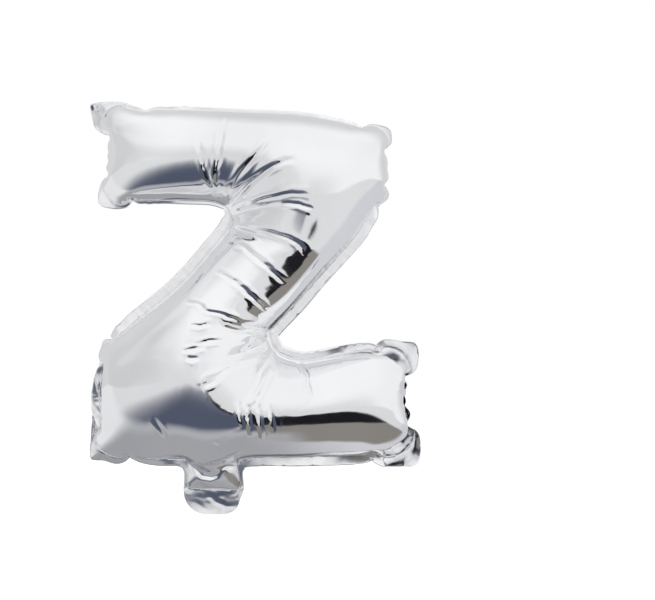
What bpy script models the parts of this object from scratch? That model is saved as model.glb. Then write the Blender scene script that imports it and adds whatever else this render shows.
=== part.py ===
"""Silver foil letter balloon, 40 cm tall with its tail, seen from the front as a person reads the letter.

The front faces -Y and +Z is up. The seam plane is Y = 0. The origin is the middle of the balloon.
The envelope is two puffed half shells that face each other across a flat welded rim. The rim also
runs down both sides of the filling tail, whose mouth is open at the bottom.
"""

from math import cos, pi, sin
from typing import NamedTuple

import bmesh
import bpy
from mathutils import Vector

MM = 0.001

# Driving dimensions, in millimetres
WALL = 10.0
RIM_THICKNESS = 1.2
FILM_THICKNESS = 1.0
GAP = 0.3
SECTION_SIDES = 8
TAIL_SIDES = 8
CAGE_SWELL = 1.02
END_HALF_DEPTH = 3.0
CUTTER_SIZE = 600.0
SEAT = RIM_THICKNESS / 2.0 + GAP


class Station(NamedTuple):
    """One section across the letter's stroke, from its left edge A to its right edge B."""

    a_x: float
    a_z: float
    b_x: float
    b_z: float
    half_depth: float


# The stroke runs from the top bar's left end, down the diagonal, to the bottom bar's right end
STATIONS = [
    Station(-143, 172, -141, 87, END_HALF_DEPTH),
    Station(-134, 174, -132, 85, 27),
    Station(-110, 175, -109, 85, 36),
    Station(-75, 174, -80, 86, 41),
    Station(-35, 173, -58, 86, 43),
    Station(10, 170, -42, 85, 46),
    Station(60, 167, -31, 83, 49),
    Station(104, 162, -25, 79, 52),
    Station(134, 152, -21, 74, 53),
    Station(136, 121, -19, 69, 53),
    Station(134, 92, -20, 64, 51),
    Station(120, 67, -24, 56, 49),
    Station(100, 44, -33, 43, 47),
    Station(78, 20, -48, 26, 46),
    Station(56, -6, -66, 5, 46),
    Station(40, -24, -85, -12, 48),
    Station(29, -36, -108, -30, 51),
    Station(23, -46, -132, -48, 54),
    Station(21, -55, -149, -74, 57),
    Station(23, -64, -150, -114, 59),
    Station(28, -70, -149, -157, 59),
    Station(37, -74, -126, -171, 58),
    Station(49, -75, -90, -172, 56),
    Station(63, -74, -50, -172, 54),
    Station(80, -70, -5, -171, 49),
    Station(100, -66, 45, -170, 45),
    Station(124, -63, 96, -169, 41),
    Station(145, -64, 142, -169, 31),
    Station(153, -68, 157, -163, END_HALF_DEPTH),
]

# The rim's outer edge from the tail's right side round the letter to the tail's left side, as (x, z)
RIM_OUTER = [
    (-10.5, -208), (-10, -182), (-6, -179), (7, -178), (64, -179), (94, -178),
    (133, -176), (150, -176), (161, -168), (166, -152), (166, -138), (163, -116),
    (159, -106), (155, -94), (157, -86), (157, -78), (153, -67), (147, -61), (145, -56), (138, -54.5),
    (132, -58), (121, -59), (81, -61), (71, -64), (50, -65), (41, -64.5), (34, -62),
    (30, -56), (31, -46), (38, -39), (66, -11), (101, 36), (123, 63), (131, 72),
    (139, 77), (141, 82), (136, 89), (140, 96), (136, 116), (136, 134), (134, 143),
    (136, 154), (130, 157), (113, 163.5), (90, 168.5), (-10, 174.5), (-115, 177.5),
    (-140, 177), (-148, 172), (-146, 159), (-152, 152), (-151, 140), (-145, 134),
    (-148, 128), (-148, 106), (-145, 99), (-149, 94), (-148, 83), (-137, 78),
    (-130, 81), (-90, 82), (-45, 82.5), (-34, 80), (-30.5, 75), (-33, 66),
    (-44, 50), (-66, 26), (-103, -9), (-135, -44), (-146, -51), (-150, -58),
    (-157, -64), (-158, -78), (-154, -86), (-155, -98), (-153, -101), (-156, -108),
    (-156, -132), (-153, -137), (-157, -146), (-154, -158), (-145, -170), (-130, -175),
    (-111, -178), (-75, -178), (-65, -185), (-63, -192), (-62.5, -206),
]

# The rim's inner edges along the tail, where the open channel for the filling valve lies
CHANNEL_LEFT = -57.0
CHANNEL_RIGHT = -16.0
CHANNEL_TOP = -160.0
CHANNEL_BOTTOM = -212.0
CHANNEL_STATION_LEFT = 22
CHANNEL_STATION_RIGHT = 24


class TailRow(NamedTuple):
    """One level across the tail: height, left and right edge, and how far the film bulges there."""

    z: float
    left: float
    right: float
    bulge: float


TAIL_ROWS = [
    TailRow(-160, -78, 4, 17),
    TailRow(-168, -74, -1, 15),
    TailRow(-176, -68, -6, 12.5),
    TailRow(-184, -64, -9.5, 9.5),
    TailRow(-193, -62.5, -10, 6.5),
    TailRow(-201, -62.5, -9.5, 2.5),
    TailRow(-205, -62.5, -9, 0),
    TailRow(-210, -59.5, -9, 0),
    TailRow(-215, -55, -10, 0),
    TailRow(-220, -49, -12, 0),
    TailRow(-224.5, -42, -16.5, 0),
    TailRow(-228, -34, -24, 0),
]

VALVE_LEFT = -52.0
VALVE_RIGHT = -20.0
VALVE_TOP = -150.0
VALVE_BOTTOM = -218.0


class Tab(NamedTuple):
    """One loose corner of film: its outline as (x, z) points, lying on the rim's front or back."""

    name: str
    side: int
    outline: list


TABS = [
    Tab("hang_tab_top_left", -1, [
        (-145, 160), (-144.5, 170), (-148, 178), (-151, 182.5), (-155, 183),
        (-158, 179), (-157, 172), (-152, 161), (-148, 158),
    ]),
    Tab("hang_tab_top_right", -1, [
        (134.5, 143), (141, 152), (143.5, 158), (139.5, 161), (136.5, 157.5), (133, 156), (134.5, 149),
    ]),
    Tab("corner_tab_bottom_left", -1, [
        (-150.5, -139), (-158, -143), (-163.5, -146), (-165, -158), (-161, -165), (-152, -168),
        (-144, -171), (-149, -158),
    ]),
    Tab("corner_tab_bottom_right", 1, [
        (136, -175), (149, -181), (159, -172), (167.5, -163), (168, -152), (165, -143),
        (162, -140), (161.5, -160), (154, -172),
    ]),
]


class Finish(NamedTuple):
    """Colour, metallic value and roughness of one material."""

    color: tuple
    metallic: float
    roughness: float


SILVER_FOIL = Finish((0.86, 0.87, 0.88, 1.0), 1.0, 0.12)
WELDED_FOIL = Finish((0.78, 0.79, 0.80, 1.0), 1.0, 0.28)
VALVE_FILM = Finish((0.74, 0.76, 0.78, 1.0), 0.2, 0.35)


def clear_scene():
    """Remove what the scene holds."""
    for item in list(bpy.data.objects):
        bpy.data.objects.remove(item, do_unlink=True)


def new_collection(name):
    """Return a new collection linked to the scene."""
    made = bpy.data.collections.new(name)
    bpy.context.scene.collection.children.link(made)
    return made


def new_material(name, finish):
    """Return a Principled material with the finish's values."""
    material = bpy.data.materials.new(name)
    material.use_nodes = True
    shader = material.node_tree.nodes["Principled BSDF"]
    shader.inputs["Base Color"].default_value = finish.color
    shader.inputs["Metallic"].default_value = finish.metallic
    shader.inputs["Roughness"].default_value = finish.roughness
    material.diffuse_color = finish.color
    return material


def add_object(name, data, collection, finish=None):
    """Link new object data to a collection, with its own material if a finish is given."""
    item = bpy.data.objects.new(name, data)
    collection.objects.link(item)
    if finish is not None:
        data.materials.append(new_material(name + "_material", finish))
    return item


def station_edges(index, inset):
    """Return a station's two edge points as (x, z), moved in by the inset."""
    station = STATIONS[index]
    a = Vector((station.a_x, station.a_z))
    b = Vector((station.b_x, station.b_z))
    across = (b - a).normalized()
    a += across * inset
    b -= across * inset
    last = len(STATIONS) - 1
    for end, inward in ((0, 3), (last, last - 3)):
        steps = abs(index - end)
        if steps > 2:
            continue
        middle = (Vector(STATIONS[end][0:2]) + Vector(STATIONS[end][2:4])) / 2.0
        target = (Vector(STATIONS[inward][0:2]) + Vector(STATIONS[inward][2:4])) / 2.0
        shift = (target - middle).normalized() * inset * (1.0 - steps / 3.0)
        a += shift
        b += shift
    return a, b


def section_ring(index, inset):
    """Return the closed ring of points round the envelope at one station, in metres."""
    a, b = station_edges(index, inset)
    depth = max(STATIONS[index].half_depth - max(inset, 0.0), END_HALF_DEPTH / 2.0) - min(inset, 0.0)
    middle = (a + b) / 2.0
    half = (b - a) / 2.0 * CAGE_SWELL
    ring = []
    for step in range(2 * SECTION_SIDES):
        angle = pi * step / SECTION_SIDES
        flat = middle - half * cos(angle)
        ring.append(Vector((flat.x, -sin(angle) * depth * CAGE_SWELL, flat.y)) * MM)
    return ring


def cap_ring(cage, ring, outward_first):
    """Close one end of the envelope's cage with a strip from the front points to the back points."""
    count = len(ring)
    for step in range(SECTION_SIDES):
        corners = [ring[step], ring[step + 1], ring[(count - step - 1) % count], ring[(count - step) % count]]
        unique = []
        for corner in corners:
            if corner not in unique:
                unique.append(corner)
        if not outward_first:
            unique.reverse()
        cage.faces.new(unique)


def envelope(name, inset, collection):
    """Return the whole puffed letter as one closed soft form, moved in by the inset."""
    cage = bmesh.new()
    rings = []
    for index in range(len(STATIONS)):
        rings.append([cage.verts.new(point) for point in section_ring(index, inset)])
    for ring, following in zip(rings, rings[1:]):
        for step in range(len(ring)):
            after = (step + 1) % len(ring)
            cage.faces.new((ring[step], following[step], following[after], ring[after]))
    cap_ring(cage, rings[0], True)
    cap_ring(cage, rings[-1], False)
    bmesh.ops.recalc_face_normals(cage, faces=cage.faces)
    mesh = bpy.data.meshes.new(name)
    cage.to_mesh(mesh)
    cage.free()
    item = add_object(name, mesh, collection)
    soft = item.modifiers.new("Soft form", "SUBSURF")
    soft.levels = 1
    soft.render_levels = 1
    return item


def hide_cutter(item):
    """Show a cutter as wire only and keep it out of renders."""
    item.hide_render = True
    item.display_type = "WIRE"


def cut(item, cutter):
    """Take the cutter's form away from the item."""
    hide_cutter(cutter)
    boolean = item.modifiers.new("Cut by " + cutter.name, "BOOLEAN")
    boolean.operation = "DIFFERENCE"
    boolean.solver = "EXACT"
    boolean.object = cutter


def half_space(name, side, collection):
    """Return a big block that covers everything on the other side of the seam from the given side."""
    bpy.ops.mesh.primitive_cube_add(size=CUTTER_SIZE * MM)
    block = bpy.context.object
    block.name = name
    block.location.y = -side * (CUTTER_SIZE / 2.0 - SEAT) * MM
    for holder in list(block.users_collection):
        holder.objects.unlink(block)
    collection.objects.link(block)
    return block


def build_panel(name, side, collection, cutters, chamber):
    """Build the front or back film: half of the envelope as a shell with a flat foot on the rim."""
    panel = envelope(name, 0.0, collection)
    panel.data.materials.append(new_material(name + "_material", SILVER_FOIL))
    cut(panel, half_space(name + "_seam_block", side, cutters))
    cut(panel, chamber)
    return panel


def flat_plate(name, outlines, thickness, y, collection, finish):
    """Return an upright flat plate from closed (x, z) outlines, centred on the given Y."""
    curve = bpy.data.curves.new(name, "CURVE")
    curve.dimensions = "2D"
    curve.fill_mode = "BOTH"
    curve.extrude = thickness / 2.0 * MM
    for outline in outlines:
        spline = curve.splines.new("POLY")
        spline.points.add(len(outline) - 1)
        for point, (x, z) in zip(spline.points, outline):
            point.co = (x * MM, z * MM, 0.0, 1.0)
        spline.use_cyclic_u = True
    plate = add_object(name, curve, collection, finish)
    plate.rotation_euler.x = pi / 2.0
    plate.location.y = y * MM
    return plate


def rim_outline():
    """Return the rim's one closed outline: round the letter outside, then back along its inner edge."""
    last = len(STATIONS) - 1
    points = list(RIM_OUTER)
    points.append((CHANNEL_LEFT, CHANNEL_BOTTOM))
    points.append((CHANNEL_LEFT, CHANNEL_TOP))
    for index in range(CHANNEL_STATION_LEFT, -1, -1):
        points.append(tuple(station_edges(index, WALL)[1]))
    for index in range(last + 1):
        points.append(tuple(station_edges(index, WALL)[0]))
    for index in range(last, CHANNEL_STATION_RIGHT - 1, -1):
        points.append(tuple(station_edges(index, WALL)[1]))
    points.append((CHANNEL_RIGHT, CHANNEL_TOP))
    points.append((CHANNEL_RIGHT, CHANNEL_BOTTOM))
    return points


def build_rim(collection):
    """Build the welded rim that both panels stand on."""
    return flat_plate("seam_rim", [rim_outline()], RIM_THICKNESS, 0.0, collection, WELDED_FOIL)


def build_tail_film(name, side, collection, clearance):
    """Build one film of the tail: a puffed neck under the envelope that ends in a flat flap."""
    cage = bmesh.new()
    rows = []
    for level in TAIL_ROWS:
        row = []
        for step in range(TAIL_SIDES + 1):
            share = step / TAIL_SIDES
            x = level.left + (level.right - level.left) * share
            y = side * (SEAT + level.bulge * sin(pi * share))
            row.append(cage.verts.new(Vector((x, y, level.z)) * MM))
        rows.append(row)
    for row, following in zip(rows, rows[1:]):
        for step in range(TAIL_SIDES):
            corners = [row[step], following[step], following[step + 1], row[step + 1]]
            if side > 0:
                corners.reverse()
            cage.faces.new(corners)
    mesh = bpy.data.meshes.new(name)
    cage.to_mesh(mesh)
    cage.free()
    film = add_object(name, mesh, collection, SILVER_FOIL)
    shell = film.modifiers.new("Film", "SOLIDIFY")
    shell.thickness = FILM_THICKNESS * MM
    shell.offset = 1.0
    cut(film, clearance)
    return film


def build_valve(collection):
    """Build the flat filling valve that lies in the tail's channel."""
    outline = [
        (VALVE_LEFT, VALVE_TOP),
        (VALVE_LEFT, VALVE_BOTTOM),
        (VALVE_RIGHT, VALVE_BOTTOM),
        (VALVE_RIGHT, VALVE_TOP),
    ]
    return flat_plate("valve_liner", [outline], RIM_THICKNESS, 0.0, collection, VALVE_FILM)


def build_tab(tab, collection):
    """Build one loose corner of film that lies on the rim's face."""
    y = tab.side * (SEAT + FILM_THICKNESS / 2.0)
    return flat_plate(tab.name, [tab.outline], FILM_THICKNESS, y, collection, SILVER_FOIL)


def main():
    """Build the balloon."""
    clear_scene()
    parts = new_collection("letter_foil_balloon")
    cutters = new_collection("cutters")
    chamber = envelope("air_chamber", WALL, cutters)
    clearance = envelope("envelope_clearance", -GAP * 2.0, cutters)
    build_panel("front_panel", -1, parts, cutters, chamber)
    build_panel("back_panel", 1, parts, cutters, chamber)
    build_rim(parts)
    build_tail_film("tail_front_film", -1, parts, clearance)
    build_tail_film("tail_back_film", 1, parts, clearance)
    build_valve(parts)
    for tab in TABS:
        build_tab(tab, parts)


main()
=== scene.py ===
"""Silver foil letter balloon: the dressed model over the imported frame.

The letter is made as a balloon maker makes it. Two flat films are cut to the letter, welded face to
face round a rounded weld line, and blown up. A loose band of film stays outside the weld, with a tab
at four corners and a flat flap under the neck.
"""

import logging
from dataclasses import dataclass, field
from enum import Enum
from math import pi, radians

import bpy
import numpy as np
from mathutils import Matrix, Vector
from mathutils.geometry import delaunay_2d_cdt


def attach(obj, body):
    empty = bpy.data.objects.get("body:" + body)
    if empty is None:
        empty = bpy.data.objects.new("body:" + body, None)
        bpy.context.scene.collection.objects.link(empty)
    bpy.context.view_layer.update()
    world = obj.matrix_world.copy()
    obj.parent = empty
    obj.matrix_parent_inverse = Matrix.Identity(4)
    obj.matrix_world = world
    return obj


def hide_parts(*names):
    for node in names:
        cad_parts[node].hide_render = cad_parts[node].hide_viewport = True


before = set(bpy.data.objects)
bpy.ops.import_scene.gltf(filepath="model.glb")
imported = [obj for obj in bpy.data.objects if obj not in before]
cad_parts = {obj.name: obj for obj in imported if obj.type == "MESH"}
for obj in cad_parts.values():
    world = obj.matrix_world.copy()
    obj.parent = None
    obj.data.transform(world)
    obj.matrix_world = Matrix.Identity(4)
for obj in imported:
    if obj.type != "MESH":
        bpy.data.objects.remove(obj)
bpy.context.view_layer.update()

MM = 0.001
LOG = logging.getLogger("letter_balloon")


class Layer(Enum):
    """Which film a face of the net belongs to."""

    FRONT = 0
    BACK = 1
    WELD = 2


class Region(Enum):
    """The part of the balloon that a face of the net becomes."""

    FRONT_PANEL = 0
    BACK_PANEL = 1
    WELD_BAND = 2
    NECK_FRONT = 3
    NECK_BACK = 4
    FLAP = 5
    TAB_TOP_LEFT = 6
    TAB_TOP_RIGHT = 7
    TAB_BOTTOM_LEFT = 8
    TAB_BOTTOM_RIGHT = 9


@dataclass(frozen=True)
class PatternCorner:
    """A corner of the flat letter, in millimetres, clockwise from the top left.

    The band is the width of loose film outside the weld, on the edge that starts at the corner. A
    calm edge keeps its band smooth, and the band of any other edge crumples as the letter fills.
    """

    name: str
    x: float
    z: float
    rounding: float
    band: float
    calm: float = 0.0


@dataclass(frozen=True)
class TabCut:
    """How far a loose tab reaches past the band at a corner, and how round it is."""

    dx: float
    dz: float
    rounding: float
    region: Region


@dataclass(frozen=True)
class WeldMark:
    """Where the blown-up weld lies, at a corner and at the quarters of the edge that starts there."""

    corner: str
    points: tuple


@dataclass(frozen=True)
class FoldLine:
    """A crease in a film: how deep it is, how far it reaches to each side, and its path on the flat film."""

    layer: Layer
    depth: float
    reach: float
    path: tuple


CORNERS = (
    PatternCorner("top_left", -154, 257, 28, 2, 0.9),
    PatternCorner("top_right", 133, 192, 28, 8),
    PatternCorner("upper_knee", 144, 108, 28, 10, 0.9),
    PatternCorner("right_notch", 26, -81, 14, 9, 0.8),
    PatternCorner("bar_right_upper", 194, -99, 28, 9),
    PatternCorner("bar_right_lower", 177, -235, 28, 9, 0.8),
    PatternCorner("neck_right_top", -10, -216, 5, 4),
    PatternCorner("neck_right_foot", -11, -244, 3, 26),
    PatternCorner("neck_left_foot", -64, -240, 3, 4),
    PatternCorner("neck_left_top", -66, -210, 5, 9, 0.6),
    PatternCorner("bar_left_lower", -157, -200, 28, 9),
    PatternCorner("lower_knee", -168, -76, 28, 10, 0.95),
    PatternCorner("left_notch", -16, 89, 14, 4, 0.8),
    PatternCorner("top_bar_left_lower", -178, 138, 28, 9),
)

TABS = {
    "top_left": TabCut(0, 1, 5, Region.TAB_TOP_LEFT),
    "top_right": TabCut(-2, 1, 4, Region.TAB_TOP_RIGHT),
    "bar_left_lower": TabCut(-1, 2, 6, Region.TAB_BOTTOM_LEFT),
    "bar_right_lower": TabCut(-2, -3, 6, Region.TAB_BOTTOM_RIGHT),
}

FLAP_ROUNDING = 24.0
BAND_ROUNDING = 2.0
NECK_BAND_ROUNDING = 6.0
TAB_REACH = 26.0
NECK_LINE = -212.0
FLAP_LINE = -240.0

WELD_MARKS = (
    WeldMark("top_left", ((-143, 174), (-75, 176.5), (-5, 174), (65, 169.5))),
    WeldMark("top_right", ((133, 155), (137, 138), (137, 121), (137, 105))),
    WeldMark("upper_knee", ((134, 90), (107.5, 52.6), (77, 18.5), (46, -17.5))),
    WeldMark("right_notch", ((22, -57), (52, -75), (87, -69), (120, -63.5))),
    WeldMark("bar_right_upper", ((152, -67), (154, -91), (156, -115), (158, -140))),
    WeldMark("bar_right_lower", ((157, -163), (115, -168), (73, -169.5), (31, -170.5))),
    WeldMark("neck_right_top", ((-11, -174), (-11, -188))),
    WeldMark("neck_right_foot", ((-11, -202), (-36, -203))),
    WeldMark("neck_left_foot", ((-61, -202), (-62, -188))),
    WeldMark("neck_left_top", ((-63, -174), (-84, -172), (-105, -172), (-126, -171))),
    WeldMark("bar_left_lower", ((-147, -165), (-150, -140), (-150, -114), (-149, -89))),
    WeldMark("lower_knee", ((-148, -62), (-112.5, -33.4), (-76.6, -4.5), (-45.5, 28.8))),
    WeldMark("left_notch", ((-20, 69), (-44, 85.2), (-77, 86), (-109, 85))),
    WeldMark("top_bar_left_lower", ((-141, 88), (-142, 109), (-142, 130), (-143, 151))),
)


def closed_distance(outline: np.ndarray, points: np.ndarray) -> np.ndarray:
    """Measure how far points lie from a closed outline.

    Args:
        outline: The outline's corners as rows of (x, z).
        points: The points as rows of (x, z).

    Returns:
        One distance for each point.
    """
    best = np.full(len(points), np.inf)
    for start, end in zip(outline, np.roll(outline, -1, axis=0)):
        best = np.minimum(best, segment_distance(start, end, points)[0])
    return best


def segment_distance(start: np.ndarray, end: np.ndarray, points: np.ndarray) -> tuple:
    """Measure how far points lie from one straight segment.

    Args:
        start: The segment's first end as (x, z).
        end: Its other end.
        points: The points as rows of (x, z).

    Returns:
        The distances, and how far along the segment each nearest place is, from 0 to 1.
    """
    along = end - start
    share = np.clip((points - start) @ along / (along @ along + 1e-12), 0.0, 1.0)
    return np.linalg.norm(points - start - share[:, None] * along, axis=1), share


def is_inside(outline: np.ndarray, points: np.ndarray) -> np.ndarray:
    """Tell which points lie inside a closed outline.

    Args:
        outline: The outline's corners as rows of (x, z).
        points: The points as rows of (x, z).

    Returns:
        True for each point that is inside.
    """
    x, z = points[:, :1], points[:, 1:]
    x0, z0 = outline[:, 0], outline[:, 1]
    x1, z1 = np.roll(x0, -1), np.roll(z0, -1)
    crossing = (z0 > z) != (z1 > z)
    reach = (x1 - x0) * (z - z0) / (z1 - z0 + 1e-12) + x0
    return (crossing & (x < reach)).sum(axis=1) % 2 == 1


def even_steps(outline: np.ndarray, step: float) -> np.ndarray:
    """Lay evenly spaced points along a closed outline.

    Args:
        outline: The outline's corners as rows of (x, z).
        step: The wanted spacing in millimetres.

    Returns:
        The new outline.
    """
    closed = np.vstack([outline, outline[:1]])
    run = np.concatenate([[0.0], np.cumsum(np.linalg.norm(np.diff(closed, axis=0), axis=1))])
    count = int(round(run[-1] / step))
    marks = np.arange(count) * run[-1] / count
    return np.stack([np.interp(marks, run, closed[:, k]) for k in range(2)], axis=1)


def edge_pairs(faces: np.ndarray) -> np.ndarray:
    """List each edge of the faces once, as two point numbers with the lower first."""
    edges = np.vstack([faces[:, [0, 1]], faces[:, [1, 2]], faces[:, [2, 0]]])
    edges.sort(axis=1)
    return np.unique(edges, axis=0)


def fold_pairs(faces: np.ndarray) -> np.ndarray:
    """List the two far points of each pair of faces that share an edge."""
    edges = np.vstack([faces[:, [0, 1]], faces[:, [1, 2]], faces[:, [2, 0]]])
    across = np.concatenate([faces[:, 2], faces[:, 0], faces[:, 1]])
    edges.sort(axis=1)
    key = edges[:, 0].astype(np.int64) * (faces.max() + 1) + edges[:, 1]
    order = np.argsort(key, kind="stable")
    same = key[order][1:] == key[order][:-1]
    return np.stack([across[order][:-1][same], across[order][1:][same]], axis=1)


def separate_groups(pairs: np.ndarray, count: int) -> list:
    """Share pairs of points out into groups in which no point is used twice.

    Args:
        pairs: The pairs as rows of two point numbers.
        count: How many points there are.

    Returns:
        A list of arrays of row numbers.
    """
    rng = np.random.default_rng(0)
    left = np.arange(len(pairs))
    groups = []
    while len(left):
        rank = rng.random(len(left))
        chosen = np.zeros(len(left), bool)
        trying = np.arange(len(left))
        for _ in range(6):
            used = np.zeros(count, bool)
            used[pairs[left[chosen]].ravel()] = True
            trying = trying[~used[pairs[left[trying]]].any(axis=1)]
            if not len(trying):
                break
            best = np.full(count, 2.0)
            ends = pairs[left[trying]]
            np.minimum.at(best, ends[:, 0], rank[trying])
            np.minimum.at(best, ends[:, 1], rank[trying])
            wins = (best[ends] == rank[trying][:, None]).all(axis=1)
            chosen[trying[wins]] = True
            trying = trying[~wins]
        groups.append(left[chosen])
        left = left[~chosen]
    return groups


@dataclass(frozen=True)
class FoldPress:
    """The creases that the films fold along: they are soft there, and keep a pressed line."""

    lines: tuple
    tilt: float = 0.5

    def softness(self, layer: Layer, points: np.ndarray, reach: float) -> np.ndarray:
        """Tell how soft the film is at some flat places.

        Args:
            layer: The film.
            points: The flat places as rows of (x, z).
            reach: How far from a crease the film is still soft, in millimetres.

        Returns:
            Values from 0, stiff, to 1, on a crease.
        """
        soft = np.zeros(len(points))
        for line in self.lines:
            if line.layer is layer:
                gap = self.nearest(np.array(line.path, float), points)[0]
                soft = np.maximum(soft, np.exp(-((gap / reach) ** 2)))
        return soft

    def press(self, layer: Layer, flat: np.ndarray) -> np.ndarray:
        """Tell how far the creases move each place of a film.

        Args:
            layer: The film.
            flat: The flat places as rows of (x, z).

        Returns:
            The moves along Y in millimetres.
        """
        moved = np.zeros(len(flat))
        inward = -1.0 if layer is Layer.BACK else 1.0
        for line in self.lines:
            if line.layer is not layer:
                continue
            gap, share, side = self.nearest(np.array(line.path, float), flat)
            fade = np.sqrt(np.clip(np.sin(pi * share), 0.0, 1.0))
            valley = np.exp(-gap / line.reach)
            shoulder = np.exp(-(((gap - 2.2 * line.reach) / (1.1 * line.reach)) ** 2))
            tilt = side * (1.0 - valley) * np.exp(-gap / (6.0 * line.reach))
            moved += inward * line.depth * fade * (valley - 0.4 * shoulder + self.tilt * tilt)
        return moved

    @staticmethod
    def nearest(path: np.ndarray, points: np.ndarray) -> tuple:
        """Measure how far points lie from a path.

        Args:
            path: The path's corners as rows of (x, z).
            points: The points as rows of (x, z).

        Returns:
            The distances, how far along the path each nearest place is, from 0 to 1, and 1 or -1 for
            the side of the path that the point lies on.
        """
        lengths = np.linalg.norm(np.diff(path, axis=0), axis=1)
        run = np.concatenate([[0.0], np.cumsum(lengths)]) / lengths.sum()
        best = np.full(len(points), np.inf)
        share = np.zeros(len(points))
        side = np.ones(len(points))
        for index, (start, end) in enumerate(zip(path, path[1:])):
            gap, along = segment_distance(start, end, points)
            closer = gap < best
            best[closer] = gap[closer]
            share[closer] = (run[index] + (run[index + 1] - run[index]) * along)[closer]
            way, out = end - start, points - start
            side[closer] = np.sign(way[0] * out[:, 1] - way[1] * out[:, 0])[closer]
        return best, share, side


# The creases that fan out from the notches and cross the diagonal stroke, on the flat film
FOLDS = FoldPress((
    FoldLine(Layer.FRONT, 1.3, 2.2, ((-30, 210), (-36, 188), (-36, 158), (-37, 137), (-38, 101))),
    FoldLine(Layer.FRONT, 1.1, 2.0, ((-61, 183), (-51, 153), (-42, 128), (-39, 98))),
    FoldLine(Layer.FRONT, 1.4, 2.4, ((18, 170), (7, 155), (-10, 137), (-22, 121), (-34, 96))),
    FoldLine(Layer.FRONT, 1.4, 2.2, ((39, 141), (28, 140), (15, 134), (-4, 120), (-25, 97))),
    FoldLine(Layer.FRONT, 1.1, 1.8, ((51, 108), (37, 109), (17, 105), (-11, 97), (-23, 92))),
    FoldLine(Layer.FRONT, 1.4, 2.2, ((45, 38), (44, 49), (34, 60), (18, 67), (-7, 77), (-25, 80))),
    FoldLine(Layer.FRONT, 1.4, 2.1, ((29, 0), (19, 14), (10, 30), (-2, 46), (-33, 66))),
    FoldLine(Layer.FRONT, 1.4, 2.1, ((29, -48), (12, -34), (-2, -16), (-13, 3), (-27, 17))),
    FoldLine(Layer.FRONT, 1.5, 1.8, ((-8, -52), (-24, -43), (-37, -39), (-46, -29), (-58, -27))),
    FoldLine(Layer.FRONT, 1.4, 1.6, ((-53, -57), (-44, -57), (-35, -55))),
    FoldLine(Layer.FRONT, 1.4, 1.6, ((-58, -83), (-49, -82), (-38, -80))),
    FoldLine(Layer.FRONT, 1.4, 1.6, ((-48, -78), (-36, -75), (-23, -75))),
    FoldLine(Layer.FRONT, 1.4, 1.6, ((-38, -117), (-29, -114), (-21, -109))),
    FoldLine(Layer.FRONT, 1.2, 1.6, ((-55, -90), (-50, -91), (-44, -92))),
    FoldLine(Layer.FRONT, 1.4, 1.6, ((29, 98), (42, 97), (53, 92))),
    FoldLine(Layer.FRONT, 1.2, 1.6, ((-62, 60), (-48, 66), (-34, 68))),
    FoldLine(Layer.FRONT, 1.5, 1.7, ((34, -72), (10, -68), (-9, -64), (-24, -59))),
    FoldLine(Layer.FRONT, 1.7, 1.9, ((39, -85), (8, -101), (-17, -104), (-35, -112), (-40, -118))),
    FoldLine(Layer.FRONT, 2.3, 1.6, ((41, -93), (29, -110), (18, -127), (7, -142))),
    FoldLine(Layer.FRONT, 2.1, 1.6, ((60, -88), (69, -117), (68, -129), (73, -145))),
    FoldLine(Layer.FRONT, 1.1, 2.0, ((-86, -143), (-79, -160), (-72, -196))),
    FoldLine(Layer.FRONT, 0.9, 1.6, ((-29, -169), (-24, -176))),
    FoldLine(Layer.FRONT, 1.2, 1.7, ((-6, -134), (-2, -158))),
    FoldLine(Layer.FRONT, 1.3, 1.7, ((2, -138), (6, -168))),
    FoldLine(Layer.FRONT, 1.3, 1.7, ((14, -140), (18, -174))),
    FoldLine(Layer.FRONT, 1.1, 1.7, ((26, -142), (30, -168))),
    FoldLine(Layer.FRONT, 1.0, 1.8, ((-61, -213), (-50, -225), (-38, -225), (-24, -213))),
    FoldLine(Layer.FRONT, 0.7, 2.0, ((-37, -228), (-36, -240))),
    FoldLine(Layer.WELD, 0.30, 2.0, ((-13, -259), (-26, -260), (-35, -256), (-44, -247), (-50, -244))),
    FoldLine(Layer.WELD, 0.14, 1.8, ((-15, -247), (-36, -249), (-47, -250), (-60, -246))),
    FoldLine(Layer.WELD, 0.14, 1.8, ((-41, -265), (-50, -260), (-58, -252))),
    FoldLine(Layer.BACK, 1.4, 2.1, ((22, 168), (5, 152), (-11, 133), (-29, 102))),
    FoldLine(Layer.BACK, 1.4, 2.1, ((47, 126), (26, 123), (4, 112), (-23, 92))),
    FoldLine(Layer.BACK, 1.4, 2.1, ((41, 33), (28, 55), (6, 70), (-23, 78))),
    FoldLine(Layer.BACK, 1.3, 2.0, ((27, -39), (2, -21), (-14, -2), (-28, 13))),
    FoldLine(Layer.BACK, 1.3, 2.0, ((37, -79), (4, -89), (-22, -100), (-39, -113))),
    FoldLine(Layer.BACK, 1.1, 2.0, ((45, -94), (32, -121), (16, -141))),
))


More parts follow.
